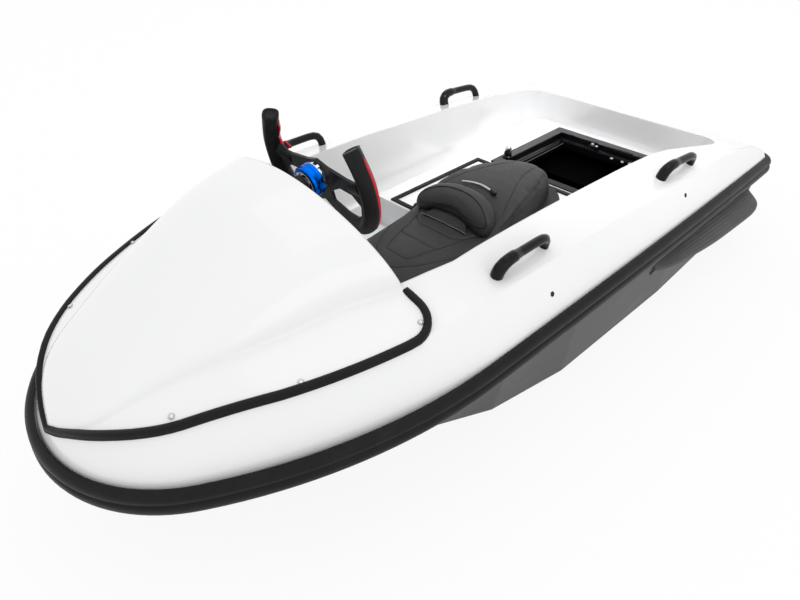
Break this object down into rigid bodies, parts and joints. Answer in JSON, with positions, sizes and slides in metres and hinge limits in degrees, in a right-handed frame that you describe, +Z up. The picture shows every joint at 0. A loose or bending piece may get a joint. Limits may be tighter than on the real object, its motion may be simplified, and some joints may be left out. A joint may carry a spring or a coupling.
{
  "type": "electric mini jet boat",
  "caption": "One-seat electric mini jet boat: open cockpit with saddle, front cowl, butterfly wheel, grab handles, black rub rail and water jet with steering nozzle.",
  "frame": {"origin": "on the floor under the middle of the boat's length and beam", "axes": "+X forward to the bow, +Y to port, +Z up"},
  "size_m": [2.325, 1.04, 0.718],
  "materials": {
    "hull_grey": "satin moulded hull, dark grey",
    "gelcoat_white": "glossy white gelcoat",
    "rail_rubber": "satin black rubber section",
    "trim_rubber": "satin black edge trim",
    "black_plastic": "fine textured black moulding",
    "seat_cover": "grained dark vinyl with seams",
    "grip_rubber": "soft black grip",
    "ring_blue": "blue anodised, satin turned",
    "ring_chrome": "polished",
    "steel": "brushed stainless",
    "black_metal": "black powder coat",
    "pump_alloy": "satin cast alloy",
    "battery_case": "plain dark case"
  },
  "bodies": {
    "boat": {"hull_shell": "hull_grey", "deck_moulding": "gelcoat_white", "rub_rail": "rail_rubber", "cowl": "gelcoat_white", "cowl_trim": "trim_rubber", "hatch_frame": "black_plastic", "battery_block": "battery_case", "motor_block": "black_metal", "seat_base_frame": "trim_rubber", "seat_base": "black_plastic", "seat_saddle": "seat_cover", "seat_bolster": "seat_cover", "grab_handle_front_port": "grip_rubber", "grab_handle_front_starboard": "grip_rubber", "grab_handle_rear_port": "grip_rubber", "grab_handle_rear_starboard": "grip_rubber", "sponson_port": "black_plastic", "sponson_starboard": "black_plastic", "column_tube": "black_metal", "steering_pedestal": "black_metal", "pump_housing": "pump_alloy", "jet_intake": "black_plastic", "intake_grate": "steel", "ride_plate": "pump_alloy", "stator": "pump_alloy"},
    "steering_wheel": {"wheel_plate": "black_metal", "wheel_grip_port": "grip_rubber", "wheel_grip_starboard": "grip_rubber", "quick_release": "ring_blue", "hub_flange": "ring_chrome", "steering_shaft": "steel"},
    "impeller_rotor": {"impeller": "steel", "drive_shaft": "steel"},
    "jet_nozzle": {"steering_nozzle": "pump_alloy"}
  },
  "joints": [
    {"name": "steering", "type": "hinge", "parent": "boat", "child": "steering_wheel", "pos_m": [0.4135, 0, 0.602], "axis": [0.9816, 0, -0.1908], "range_deg": [-88, 88]},
    {"name": "nozzle_steer", "type": "hinge", "parent": "boat", "child": "jet_nozzle", "pos_m": [-1.0765, 0, 0.098], "axis": [0, 0, 1], "range_deg": [-22, 22]},
    {"name": "impeller_spin", "type": "hinge", "parent": "boat", "child": "impeller_rotor", "pos_m": [-0.9625, 0, 0.098], "axis": [1, 0, 0], "continuous": true}
  ],
  "couplings": [
    {"joint": "nozzle_steer", "follows": "steering", "ratio": 0.25}
  ]
}
